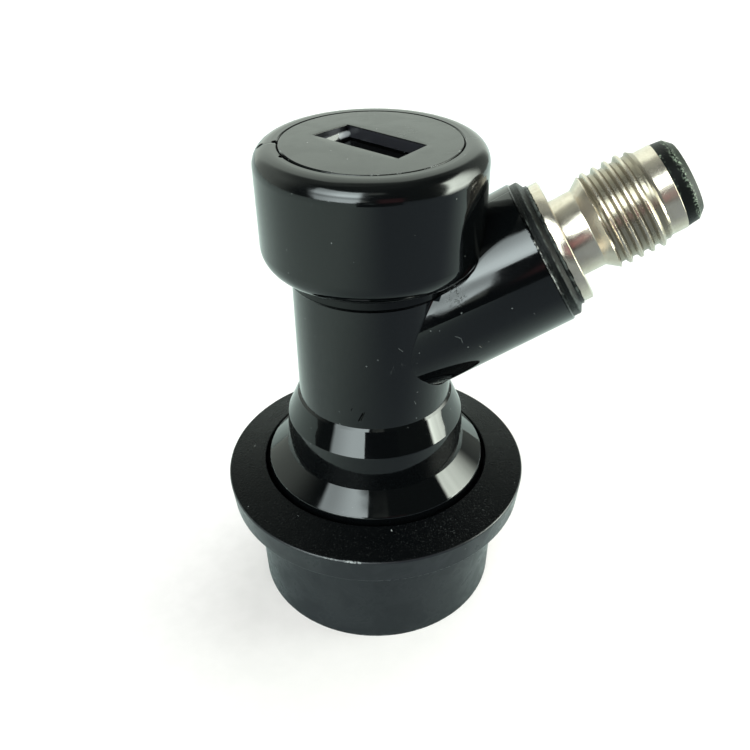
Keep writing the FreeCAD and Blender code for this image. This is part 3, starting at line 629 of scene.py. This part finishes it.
def make_body_plastic():
    """Glossy black of the moulded body: nearly a mirror, with a faint ripple, sparse dust, worn
    rims, nicks round the head's rim, a parting line in the plane of the arm, a few marks, and
    painted shade on the neck and in the joint round the cap."""
    colour = (0.0014, 0.0017, 0.0019)
    material, tree, shader, place = new_material("black gloss body plastic", colour, 0.05)
    where = turned_place(tree, place)
    along = arm_place(tree, place)
    specks = dust(tree, place, 0.0011, 0.34, 0.062)
    scratch = scratches(tree, place, (500.0, 700.0, 160.0), 0.006, 0.34)
    worn = most(tree, worn_rims(tree, place, where, BODY_RIMS), worn_rims(tree, place, along, ARM_RIMS))
    grit = noise(tree, place, 3400.0, 3.0, 0.7)
    crumbs = times(tree, near_point(tree, place, (8.3, -7.1, 43.8), 1.5), ramp(tree, grit, 0.54, 0.66))
    chips = ramp(tree, most(tree, *(near_point(tree, place, *chip) for chip in RIM_CHIPS)), 0.25, 0.55)
    cuts = near_strokes(tree, place, BODY_CUTS)
    hairs = near_strokes(tree, place, BODY_HAIRS)
    # Painted shade: the head's inner rim at the joint round the cap is darkened over one span of angles, as
    # the shade of an open gap.
    joint_shade = times(tree, ramp_mm(tree, where["Radius"], 9.82, 9.72),
                  ramp_mm(tree, where["Height"], 58.0, 58.1), window(tree, where["Angle"], *SHADED_JOINT))
    # Painted shade: dark bands on the neck, under the head's edge and under the neck's step.
    neck_shade = most(tree, *(times(tree, window_mm(tree, where["Height"], foot, top, 0.03), share)
                         for foot, top, share in NECK_SHADE_BANDS))
    neck_shade = times(tree, neck_shade, ramp_mm(tree, where["Radius"], 9.75, 9.7))
    frayed = times(tree, window_mm(tree, along["Height"], 21.3, 21.72, 0.04), ramp(tree, grit, 0.36, 0.5),
                   window_mm(tree, along["Radius"], 8.05, 8.6, 0.05))
    # Gloss taken off where the black is worn (chips, cuts, the frayed edge) and where shade is painted (the
    # joint, the neck bands).
    dark = most(tree, chips, cuts, joint_shade, neck_shade, frayed)
    light = most(tree, specks, times(tree, hairs, 0.2), times(tree, scratch, 0.05), times(tree, worn, 0.45),
                 times(tree, crumbs, 0.6), times(tree, ramp(tree, grit, 0.58, 0.68), 0.3, chips))

    smudge = smudges(tree, place, 170.0)
    brow = times(tree, ramp_mm(tree, where["Height"], 56.0, 56.5),
                 ramp_mm(tree, where["Height"], CAP_TOP, 57.8))
    rub = near_stroke(tree, place, *ARM_ROOT_RUB)
    rough = plus(tree, ramp(tree, smudge, 0.0, 1.0, 0.035, 0.085), times(tree, light, 0.5),
                 times(tree, brow, 0.07), times(tree, rub, 0.1))

    parting = ramp_mm(tree, maths(tree, "ABSOLUTE", split(tree, place)["Y"]), 0.09, 0.03)
    raised = times(tree, grit, most(tree, times(tree, crumbs, 0.5), chips))
    sunk = plus(tree, parting, times(tree, most(tree, chips, cuts), 1.5))
    waist = times(tree, window_mm(tree, where["Height"], 20.64, 24.9, 0.04),
                  ramp_mm(tree, where["Radius"], 11.3, 11.2))
    leaning = leaning_normal(tree, (waist, WAIST_LEAN), (most(tree, chips, joint_shade), CHIP_LEAN))
    dented = bumped(tree, minus(tree, raised, sunk), 0.00005, Normal=leaning)
    feed(tree, shader, {
        "Base Color": mix_colours(tree, light, colour, (0.26, 0.28, 0.27)),
        "Roughness": rough,
        "Metallic": without_gloss(tree, dark, light),
        "Normal": grained(tree, place, 380.0, 0.000004, Normal=dented)})
    return material


def make_ring_plastic():
    """Black of the arm's end ring: dull, with scored and fraying edges."""
    colour = (0.0014, 0.0017, 0.0017)
    material, tree, shader, place = new_material("black end ring plastic", colour, 0.32, specular=0.15)
    along = arm_place(tree, place)
    wander = noise(tree, place, 500.0, 3.0)
    lines = tool_lines(tree, plus(tree, along["Height"], times(tree, wander, 0.0003)), 2.0)
    coarse = noise(tree, place, 2600.0, 4.0, 0.75)
    worn = worn_rims(tree, place, along, END_RING_RIMS)
    scored = times(tree, ramp(tree, lines, 0.62, 0.7), ramp(tree, coarse, 0.5, 0.6))
    light = most(tree, times(tree, worn, 0.4), times(tree, scored, 0.16))
    feed(tree, shader, {
        "Base Color": mix_colours(tree, light, colour, (0.24, 0.27, 0.24)),
        "Normal": bumped(tree, plus(tree, lines, coarse), 0.00008)})
    return material


def make_cap_plastic():
    """Satin black of the cap, greyer on the slot's walls, with grit on the slot's floor, which is
    black as painted shade, a darkened band and a painted highlight on the slot's leaning end wall,
    and painted shade at the joint round the cap."""
    colour = (0.0022, 0.0026, 0.0024)
    material, tree, shader, place = new_material("black satin cap plastic", colour, 0.22)
    where = turned_place(tree, place)
    specks = dust(tree, place, 0.0008, 0.12, 0.07)
    scratch = scratches(tree, place, (160.0, 800.0, 800.0), 0.010, 0.45)
    rim = worn_rims(tree, place, where, CAP_RIMS)
    # Painted shade: the cap's edge at the joint is darkened over the same span of angles, as the shade of an
    # open gap.
    joint_shade = times(tree, window(tree, where["Angle"], *SHADED_JOINT),
                  ramp_mm(tree, where["Radius"], 9.26, 9.34))

    in_slot = ramp_mm(tree, where["Radius"], 7.0, 6.7)
    # Painted shade: the slot's floor, whose gloss is taken off below so that it shows black.
    floor = times(tree, in_slot, ramp_mm(tree, where["Height"], 56.95, 56.85))
    walls = times(tree, in_slot, window_mm(tree, where["Height"], 56.9, 58.1, 0.04))
    patch = near_point(tree, place, (2.6, -0.6, 56.75), 2.4)
    grit = times(tree, floor, dust(tree, place, 0.0005, 0.3, 0.13),
                 ramp(tree, patch, 0.0, 0.4, 0.1, 1.0))
    # Painted highlight: a pale stroke on the slot's leaning end wall, in place of a window's reflection.
    pale_mark = near_stroke(tree, place, *SLOT_PAINTED_HIGHLIGHT)
    # The upper band of the slot's leaning end wall, made darker, rougher and without gloss.
    slot_axis = (math.cos(SLOT_ANGLE), math.sin(SLOT_ANGLE), 0.0)
    down_slot = vector_maths(tree, "DOT_PRODUCT", place, slot_axis)
    darkened_end_band = times(tree, ramp_mm(tree, down_slot, -4.7, -4.8),
                  window_mm(tree, where["Height"], 57.62, 58.13, 0.03), in_slot)

    light = most(tree, specks, times(tree, scratch, 0.06), grit, times(tree, rim, 0.4), pale_mark)
    greyed = mix_colours(tree, walls, colour, (0.018, 0.018, 0.021))
    dusted = mix_colours(tree, light, greyed, (0.34, 0.36, 0.35))
    smudge = smudges(tree, place, 260.0)
    rough = mix_values(tree, walls, ramp(tree, smudge, 0.0, 1.0, 0.19, 0.27), 0.12)
    leaning = leaning_normal(tree, (joint_shade, CHIP_LEAN))
    # The painted highlight, whitened further.
    base = mix_colours(tree, times(tree, pale_mark, 0.6), dusted, (0.62, 0.64, 0.66))
    feed(tree, shader, {
        "Base Color": base,
        "Roughness": plus(tree, rough, times(tree, most(tree, light, darkened_end_band), 0.4)),
        # Gloss taken off as painted shade on the slot's floor and the joint, and on the end wall's darkened
        # band.
        "Metallic": without_gloss(tree, most(tree, floor, joint_shade, darkened_end_band), light),
        "Normal": grained(tree, place, 2600.0, 0.0000035, Normal=leaning)})
    return material


def make_collar_plastic():
    """Black of the collar: fine grain on the flange, nearly without gloss, with painted glints as
    pale dots on it, most towards the front right, and a rubbed satin sleeve, whose gloss is a coat."""
    colour = (0.0012, 0.0015, 0.0018)
    material, tree, shader, place = new_material("black collar plastic", colour, 0.4, specular=0.055)
    shader.inputs["Coat Roughness"].default_value = 0.34
    where = turned_place(tree, place)
    top = ramp_mm(tree, where["Height"], 16.70, 16.76)
    smudge = smudges(tree, place, 240.0)
    coarse = noise(tree, place, 4200.0, 3.0, 0.65)
    depth = ramp(tree, top, 0.0, 1.0, 0.06, 1.0)

    specks = dust(tree, place, 0.0012, 0.14, 0.06)
    worn = worn_rims(tree, place, where, COLLAR_RIMS)
    bare = times(tree, near_strokes(tree, place, COLLAR_SCRAPES), ramp(tree, coarse, 0.4, 0.6))
    # Painted glints: pale dots on the flange's top, more of them towards the front right.
    sparkle = noise(tree, place, 5500.0, 2.0, 0.7)
    glint_share = ramp(tree, near_point(tree, place, (9.0, -13.0, 17.9), 12.0), 0.2, 0.9, 0.04, 0.09)
    painted_glints = times(tree, ramp(tree, sparkle, 0.6, 0.7), top, glint_share)
    light = most(tree, specks, bare, painted_glints, times(tree, worn, 0.5))
    rubbed = mix_colours(tree, minus(tree, 1.0, top), colour, (0.0070, 0.0074, 0.0094))
    rough = mix_values(tree, top, ramp(tree, smudge, 0.0, 1.0, 0.26, 0.44),
                       ramp(tree, smudge, 0.0, 1.0, 0.26, 0.34))
    coat = times(tree, ramp(tree, top, 0.0, 1.0, 1.0, 0.0), ramp(tree, smudge, 0.0, 1.0, 1.0, 0.8))
    feed(tree, shader, {
        "Base Color": mix_colours(tree, light, rubbed, (0.36, 0.38, 0.37)),
        "Roughness": rough,
        "Coat Weight": coat,
        "Normal": bumped(tree, times(tree, coarse, depth), 0.00009)})
    return material


def make_core_plastic():
    """Matt black of the core, with light specks where its tip's rim is worn, and its tip's end
    lightened a little towards pale green as a painted reflection.
    """
    colour, pale_mark = (0.0030, 0.0036, 0.0034), (0.36, 0.44, 0.33)
    material, tree, shader, place = new_material("matt black core plastic", colour, 0.4, specular=0.12)
    along = arm_place(tree, place)
    # Painted reflection: the tip's end past its rim is lightened a little towards the pale green, which also
    # colours the worn rim's specks.
    edge = ramp_mm(tree, along["Height"], 37.56, 37.64)
    grit = noise(tree, place, 3800.0, 3.0, 0.75)
    light = times(tree, worn_rims(tree, place, along, TIP_RIMS), ramp(tree, grit, 0.48, 0.62))
    pale = mix_colours(tree, times(tree, edge, 0.05), colour, pale_mark)
    feed(tree, shader, {
        "Base Color": mix_colours(tree, light, pale, pale_mark),
        "Normal": bumped(tree, grit, 0.00005)})
    return material


def make_nickel():
    """Nickel plate over turned brass: fine lines round the arm, small pits, stains in patches,
    darker thread valleys, and black residue where the flange meets the end ring."""
    colour = (0.64, 0.585, 0.51)
    material, tree, shader, place = new_material("bright nickel plate", colour, 0.24, metallic=0.9)
    along = arm_place(tree, place)
    lines = tool_lines(tree, plus(tree, along["Height"], times(tree, along["Radius"], 1.3)), 3.0, 0.7)
    pits = noise(tree, place, 7400.0, 3.0, 0.75)
    pitted = bumped(tree, pits, 0.000006, Normal=bumped(tree, lines, 0.000003))
    smudge = smudges(tree, place, 420.0)
    dull = times(tree, smudges(tree, place, 900.0), ramp(tree, pits, 0.4, 0.7))
    bright = mix_colours(tree, smudge, (0.66, 0.59, 0.50), (0.58, 0.51, 0.42))
    stained = mix_colours(tree, times(tree, dull, 0.5), bright, (0.36, 0.30, 0.23))
    valley = times(tree, ramp_mm(tree, along["Radius"], 5.56, 5.3, 0.2, 1.0),
                   window_mm(tree, along["Height"], 28.4, 34.4, 0.1))
    stained = mix_colours(tree, times(tree, valley, 0.8), stained, (0.24, 0.21, 0.155))
    rough = plus(tree, ramp(tree, smudge, 0.0, 1.0, 0.17, 0.27), times(tree, valley, 0.08))
    ragged = minus(tree, along["Height"], times(tree, noise(tree, place, 1300.0, 3.0, 0.7), 0.5 * MM))
    soiled = ramp_mm(tree, ragged, 23.06, 23.0)
    feed(tree, shader, {
        "Base Color": mix_colours(tree, soiled, stained, (0.008, 0.009, 0.008)),
        "Roughness": rough,
        "Normal": pitted})
    return material


def make_plain(name, colour, other, low, high, patches, grain, depth, metallic=0.0):
    """A plain finish: two close shades in patches, uneven gloss and a fine grain."""
    material, tree, shader, place = new_material(name, colour, low, metallic)
    smudge = smudges(tree, place, patches)
    feed(tree, shader, {
        "Base Color": mix_colours(tree, smudge, colour, other),
        "Roughness": ramp(tree, smudge, 0.0, 1.0, low, high),
        "Normal": grained(tree, place, grain, depth)})
    return material


def make_steel(name, colour, low, high):
    """Bare steel: uneven polish and colour, and a fine drawn or rolled surface."""
    return make_plain(name, colour, tuple(0.84 * c for c in colour), low, high, 500.0, 6000.0, 0.000002, 1.0)


FINISH = {
    "body": make_body_plastic(),
    "ring end": make_ring_plastic(),
    "cap": make_cap_plastic(),
    "collar": make_collar_plastic(),
    "core": make_core_plastic(),
    "nickel": make_nickel(),
    "spring": make_steel("drawn spring steel", (0.50, 0.49, 0.47), 0.22, 0.34),
    "ring": make_steel("stamped ring steel", (0.48, 0.47, 0.46), 0.26, 0.42),
    "ball": make_steel("polished ball steel", (0.60, 0.59, 0.58), 0.06, 0.14),
    "pin": make_plain("natural white pin plastic", (0.64, 0.64, 0.60), (0.57, 0.57, 0.52), 0.34, 0.5,
                      320.0, 3000.0, 0.000006),
    "rubber": make_plain("black seal rubber", (0.012, 0.012, 0.012), (0.022, 0.022, 0.022), 0.5, 0.65,
                         320.0, 5000.0, 0.00001)}
WORN_BY = {
    "body_shell": "body", "arm_end_ring": "ring end", "outlet_core": "core", "outlet_seal_ring": "rubber",
    "screw_cap": "cap", "cap_seal_ring": "rubber", "plunger": "pin", "plunger_seal_ring": "rubber",
    "collar": "collar", "retaining_ring": "ring", "lock_ball_1": "ball", "lock_ball_2": "ball",
    "lock_ball_3": "ball"}
for node_name, finish in WORN_BY.items():
    for material_slot in NODES[node_name].material_slots:
        material_slot.material = FINISH[finish]


# Pieces that stand for CAD nodes

def make_outlet_fitting():
    """Plated fitting: bore, flange, neck and nose turned about the arm, and the cut thread."""
    corners = ((BORE_R, 30.0), (BORE_R, FLANGE_FROM), (FLANGE_R, FLANGE_FROM), (FLANGE_R, 24.3),
               (6.62, FLANGE_TO), (NECK_R, FLANGE_TO), (NECK_R, 27.0), (THREAD_FROM_R, THREAD_FROM),
               (5.5, 28.6))
    front = eased(corners, OUTLET_EASE)
    front = front[front[:, 1] < THREAD_FROM - 0.001]
    front = np.vstack([[BORE_R, NOSE_BORE_TO], front, [THREAD_FROM_R, THREAD_FROM]])
    rear = ((NOSE_R, THREAD_TO), (NOSE_R, 36.22), (4.85, NOSE_TO), (3.7, NOSE_TO), (BORE_R, NOSE_BORE_TO))
    envelope = np.array([(THREAD_FROM_R, THREAD_FROM), (THREAD_CREST_R, 28.4), (THREAD_CREST_R, 33.5),
                         (NOSE_R, 34.5), (NOSE_R, THREAD_TO)])
    thread = thread_grid(envelope, THREAD_FROM, THREAD_TO, THREAD_PITCH, THREAD_LEAD, THREAD_CREST_R,
                         THREAD_ROOT_R, OUTLET_COLUMNS)
    mesh = joined("threaded_outlet", [(on_arm(turned(front, OUTLET_COLUMNS)), True),
                                      (on_arm(thread), False),
                                      (on_arm(turned(rear, OUTLET_COLUMNS)), True)])
    piece = finished(mesh, "body", FINISH["nickel"], crease=28.0)
    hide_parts("outlet_fitting")


def cap_top_grid():
    """The cap's top as rows of closed curves from the middle of the slot's floor: the floor, its
    walls, the eased rim, the disc, its edge, and the step down to the thread."""
    place = np.linspace(0.0, 2.0 * math.pi, CAP_COLUMNS, endpoint=False) - SLOT_ANGLE
    side, part = side_parts([corner[:2] for corner in SLOT_RINGS[0]], place)
    walls = [ring_points(corners, side, part) * (1.0, 1.0, -1.0) + (0.0, 0.0, CAP_TOP)
             for corners in SLOT_RINGS]
    floor, rim = walls[-1], walls[0]
    away = rim * (1.0, 1.0, 0.0) / np.linalg.norm(rim[:, :2], axis=1, keepdims=True)
    up = np.array([0.0, 0.0, 1.0])
    ray = np.stack([np.cos(place), np.sin(place), 0.0 * place], axis=1)
    turns = np.radians(np.linspace(0.0, 90.0, 9))
    rows = [floor * (share, share, 1.0) for share in (0.0, 0.5, 0.985)]
    rows += [floor + 0.05 * up] + walls[-2:0:-1]
    for turn in turns:
        rows.append(rim + SLOT_EDGE_ROUND * (1.0 - math.cos(turn)) * away
                    - SLOT_EDGE_ROUND * (1.0 - math.sin(turn)) * up)
    for blend in (0.25, 0.5, 0.75, 1.0):
        rows.append((1.0 - blend) * (rim + SLOT_EDGE_ROUND * away)
                    + blend * (CAP_DISC_R * ray + CAP_TOP * up))
    for turn in turns:
        rows.append((CAP_FLAT_R + CAP_EDGE_ROUND * math.sin(turn)) * ray
                    + (CAP_TOP - CAP_EDGE_ROUND * (1.0 - math.cos(turn))) * up)
    step = ((CAP_EDGE_R, CAP_THREAD_TOP + 0.08), (9.41, CAP_THREAD_TOP), (CAP_CREST_R, CAP_THREAD_TOP))
    rows += [radius * ray + height * up for radius, height in step]
    x, y, z = np.moveaxis(np.stack(rows), -1, 0)
    cos, sin = math.cos(SLOT_ANGLE), math.sin(SLOT_ANGLE)
    return np.stack([cos * x - sin * y, sin * x + cos * y, z], axis=-1)


def make_screw_cap():
    """Slotted cap with its cut thread."""
    envelope = np.array([(CAP_THREAD_FOOT_R, CAP_THREAD_FOOT), (CAP_CREST_R, CAP_THREAD_FOOT + THREAD_FADE),
                         (CAP_CREST_R, CAP_THREAD_TOP)])
    thread = thread_grid(envelope, CAP_THREAD_FOOT, CAP_THREAD_TOP, CAP_PITCH, CAP_THREAD_FOOT + 0.7,
                         CAP_CREST_R, CAP_ROOT_R, CAP_COLUMNS)
    under = ((CAP_THREAD_FOOT_R, CAP_THREAD_FOOT), *CAP_UNDERSIDE)
    mesh = joined("threaded_screw_cap", [(cap_top_grid(), True), (thread, False),
                                         (turned(under, CAP_COLUMNS), True)])
    piece = finished(mesh, "cap", FINISH["cap"], crease=12.0)
    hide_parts("screw_cap")


def make_spring(name, node_name, sizes):
    """A wound spring in place of its eight-sided solid."""
    piece = finished(grid_mesh(name, coil_grid(*sizes), around=True), "body", FINISH["spring"], crease=60.0)
    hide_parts(node_name)
    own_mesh(piece)


make_outlet_fitting()
make_screw_cap()
make_spring("wound_collar_spring", "collar_spring", COLLAR_SPRING)
make_spring("wound_valve_spring", "plunger_spring", VALVE_SPRING)


# Floor, light and camera

def flat_sheet(name, corners):
    """A flat sheet in the scene, from its corners in metres."""
    mesh = bpy.data.meshes.new(name)
    mesh.from_pydata(corners, [], [tuple(range(len(corners)))])
    sheet = bpy.data.objects.new(name, mesh)
    bpy.context.scene.collection.objects.link(sheet)
    return sheet


def make_floor():
    """A pale matt board that the part stands on. It shows white to the camera and keeps the
    part's shadow, it is a middling pale grey in reflections, with a painted shadow that darkens it
    towards the front right, and it is clear from below."""
    half, side = 1.2, 0.255
    corners = [(-half, -half, 0), (side, -half, 0), (side, half, 0), (-half, half, 0)]
    floor = flat_sheet("pale_floor", corners)
    material, tree, shader, place = new_material("pale floor board", (0.7, 0.7, 0.69), 0.9, specular=0.0)
    tooth = noise(tree, place, 330.0, 5.0, 0.65)
    pale = mix_colours(tree, ramp(tree, tooth, 0.35, 0.65), (0.51, 0.60, 0.57), (0.57, 0.66, 0.63))
    x, y, _ = split(tree, place)
    # Painted shadow: the board darker towards the front right, which reflections show; the lift keeps it
    # white to the camera.
    painted_shadow = times(tree, ramp(tree, x, -0.075, 0.030), ramp(tree, y, 0.025, -0.050))
    board = mix_colours(tree, painted_shadow, pale, (0.17, 0.195, 0.22))
    grey = add(tree, "ShaderNodeRGBToBW", {"Color": board}).outputs[0]
    lift = vector_maths(tree, "MULTIPLY_ADD", grey, (-1.55, -1.55, -1.55), (1.205, 1.19, 1.165))
    rays = tree.nodes.new("ShaderNodeLightPath").outputs
    seen_from_below = tree.nodes.new("ShaderNodeNewGeometry").outputs["Backfacing"]
    feed(tree, shader, {
        "Base Color": mix_colours(tree, rays["Is Camera Ray"], board, grey),
        "Emission Color": vector_maths(tree, "MAXIMUM", lift, (0.0, 0.0, 0.0)),
        "Emission Strength": maths(tree, "MULTIPLY_ADD", rays["Is Diffuse Ray"], 0.45, rays["Is Camera Ray"]),
        "Alpha": minus(tree, 1.0, seen_from_below)})
    floor.data.materials.append(material)


def make_dark_card():
    """A dark upright card seen only in reflections. It cuts into the left window, and its warm
    part leaves a red band on the metal."""
    card = flat_sheet("dark_card", [(x * MM, CARD_AT * MM, z * MM) for x, z in CARD_OUTLINE])
    material, tree, shader, place = new_material("dark card", (0.0, 0.0, 0.0), 1.0, specular=0.0)
    x, _, z = split(tree, place)
    warm = times(tree, ramp_mm(tree, x, 1.0, 11.0), window_mm(tree, z, 53.0, 83.0, 5.0),
                 ramp(tree, noise(tree, place, 60.0, 2.0), 0.3, 0.6, 0.7, 1.1))
    feed(tree, shader, {
        "Emission Color": mix_colours(tree, warm, (0.012, 0.01, 0.012), (0.36, 0.13, 0.14)),
        "Emission Strength": 1.0})
    card.data.materials.append(material)
    for ray in ("camera", "diffuse", "transmission", "volume_scatter", "shadow"):
        setattr(card, "visible_" + ray, False)


def make_world():
    """A plain studio: white to the camera, even to matt surfaces, and for glossy ones a white
    backdrop behind the part, a dark room before it and a soft window on each side."""
    world = bpy.data.worlds.new("studio")
    bpy.context.scene.world = world
    world.use_nodes = True
    tree = world.node_tree
    tree.nodes.clear()
    towards = add(tree, "ShaderNodeTexCoord").outputs["Generated"]
    x, y, z = split(tree, towards)
    azimuth = degrees_about_z(tree, x, y)
    height = maths(tree, "DEGREES", maths(tree, "ARCSINE", z))

    # The walls, a pale strip beside the left window, and a lintel over the dark between the windows
    backdrop = times(tree, ramp(tree, height, 10.0, 45.0, 1.36, 1.52),
                     ramp(tree, height, 73.0, 60.0, 0.16, 1.0))
    round_room = maths(tree, "WRAP", azimuth, 360.0, 0.0)
    left_wall = times(tree, ramp(tree, round_room, 118.0, 132.0, 0.0, 0.78),
                      ramp(tree, round_room, 198.0, 158.0), ramp(tree, height, 56.0, 30.0, 0.28, 1.0))
    right_wall = times(tree, window(tree, azimuth, *RIGHT_WALL_AZIMUTHS, 4.0),
                       ramp(tree, height, 60.0, 30.0, 0.1, 0.3))
    strip = times(tree, window(tree, azimuth, *STRIP_AZIMUTHS, 1.5),
                  window(tree, height, *STRIP_HEIGHTS, 2.0), 0.9)
    lintel = times(tree, window(tree, azimuth, *LINTEL_AZIMUTHS, 2.0),
                   window(tree, height, *LINTEL_HEIGHTS, 2.0), 0.7)
    room = plus(tree, ramp(tree, height, 50.0, 80.0, 0.03, 0.12), left_wall, right_wall, strip, lintel)
    room = mix_values(tree, window(tree, azimuth, *BACKDROP_AZIMUTHS, 6.0), room, backdrop)
    room_colour = vector_maths(tree, "SCALE", (0.95, 1.06, 0.95), Scale=room)

    # The left window: its outer edge slants, a darker band crosses it, and it dims away from the camera
    slanting = maths(tree, "MULTIPLY_ADD", height, 0.27, azimuth)
    left_window = times(tree, ramp(tree, slanting, -149.0, -142.5),
                        ramp(tree, azimuth, -102.0, -104.0), window(tree, height, *LEFT_WINDOW_HEIGHTS, 1.4))
    left_level = plus(tree, ramp(tree, height, 12.0, 21.0, 8.0, 5.0),
                      ramp(tree, height, 23.0, 31.0, 0.0, 7.0), ramp(tree, height, 33.0, 49.0, 0.0, -3.8))
    left_level = times(tree, left_level, ramp(tree, azimuth, -152.0, -118.0, 0.55, 1.0))
    left_colour = vector_maths(tree, "SCALE", (0.88, 1.0, 1.0), Scale=left_level)

    # The right window: its front edge leans, it dims away from the camera, and it is uneven like a curtain
    leaning = maths(tree, "MULTIPLY_ADD", height, -0.22, azimuth)
    right_window = times(tree, ramp(tree, leaning, -21.0, -16.0), ramp(tree, azimuth, 33.0, 19.0),
                         window(tree, height, *RIGHT_WINDOW_HEIGHTS, 2.6))
    curtain = noise(tree, towards, 5.0, 1.0)
    right_level = times(tree, maths(tree, "MULTIPLY_ADD", azimuth, -0.33, 12.2),
                        ramp(tree, curtain, 0.3, 0.7, 0.85, 1.1), ramp(tree, height, -10.0, 0.0, 0.45, 1.0))
    right_colour = vector_maths(tree, "SCALE", (0.92, 1.0, 0.89), Scale=right_level)

    with_left = mix_colours(tree, left_window, room_colour, left_colour)
    with_right = mix_colours(tree, right_window, with_left, right_colour)
    rays = tree.nodes.new("ShaderNodeLightPath").outputs
    plain = most(tree, rays["Is Camera Ray"], rays["Is Transmission Ray"], rays["Is Diffuse Ray"])
    level = mix_values(tree, rays["Is Diffuse Ray"], 1.0, 0.55)
    colour = mix_colours(tree, plain, with_right, level)
    background = add(tree, "ShaderNodeBackground", {"Color": colour})
    add(tree, "ShaderNodeOutputWorld", {"Surface": background.outputs[0]})


def make_lamp(name, place, aim, size, power, colour):
    """A square soft lamp that lights matt surfaces; the glossy ones see the studio instead. Its
    place, aim and size are in metres."""
    data = bpy.data.lights.new(name, "AREA")
    data.shape = "SQUARE"
    data.size = size
    data.energy = power
    data.color = colour
    lamp = bpy.data.objects.new(name, data)
    lamp.location = place
    x, y, z = np.subtract(aim, place)
    lamp.rotation_euler = (math.atan2(math.hypot(x, y), -z), 0.0, math.atan2(y, x) - math.pi / 2.0)
    lamp.visible_glossy = False
    bpy.context.scene.collection.objects.link(lamp)


def make_camera():
    """The photograph's place and angle, for a square frame."""
    data = bpy.data.cameras.new("camera")
    data.sensor_width = 36.0
    data.lens = CAMERA_LENS
    data.clip_start = 0.01
    data.clip_end = 20.0
    camera = bpy.data.objects.new("camera", data)
    camera.location = tuple(c * MM for c in CAMERA_PLACE)
    camera.rotation_euler = tuple(math.radians(angle) for angle in CAMERA_TURN)
    bpy.context.scene.collection.objects.link(camera)
    bpy.context.scene.camera = camera


make_floor()
make_dark_card()
make_world()
make_lamp("back_lamp", place=(0.25, 0.45, 0.6), aim=(0, 0, 0.03), size=0.6, power=5.0,
          colour=(1.0, 1.0, 0.98))
make_camera()
bpy.context.scene.view_settings.view_transform = "Standard"
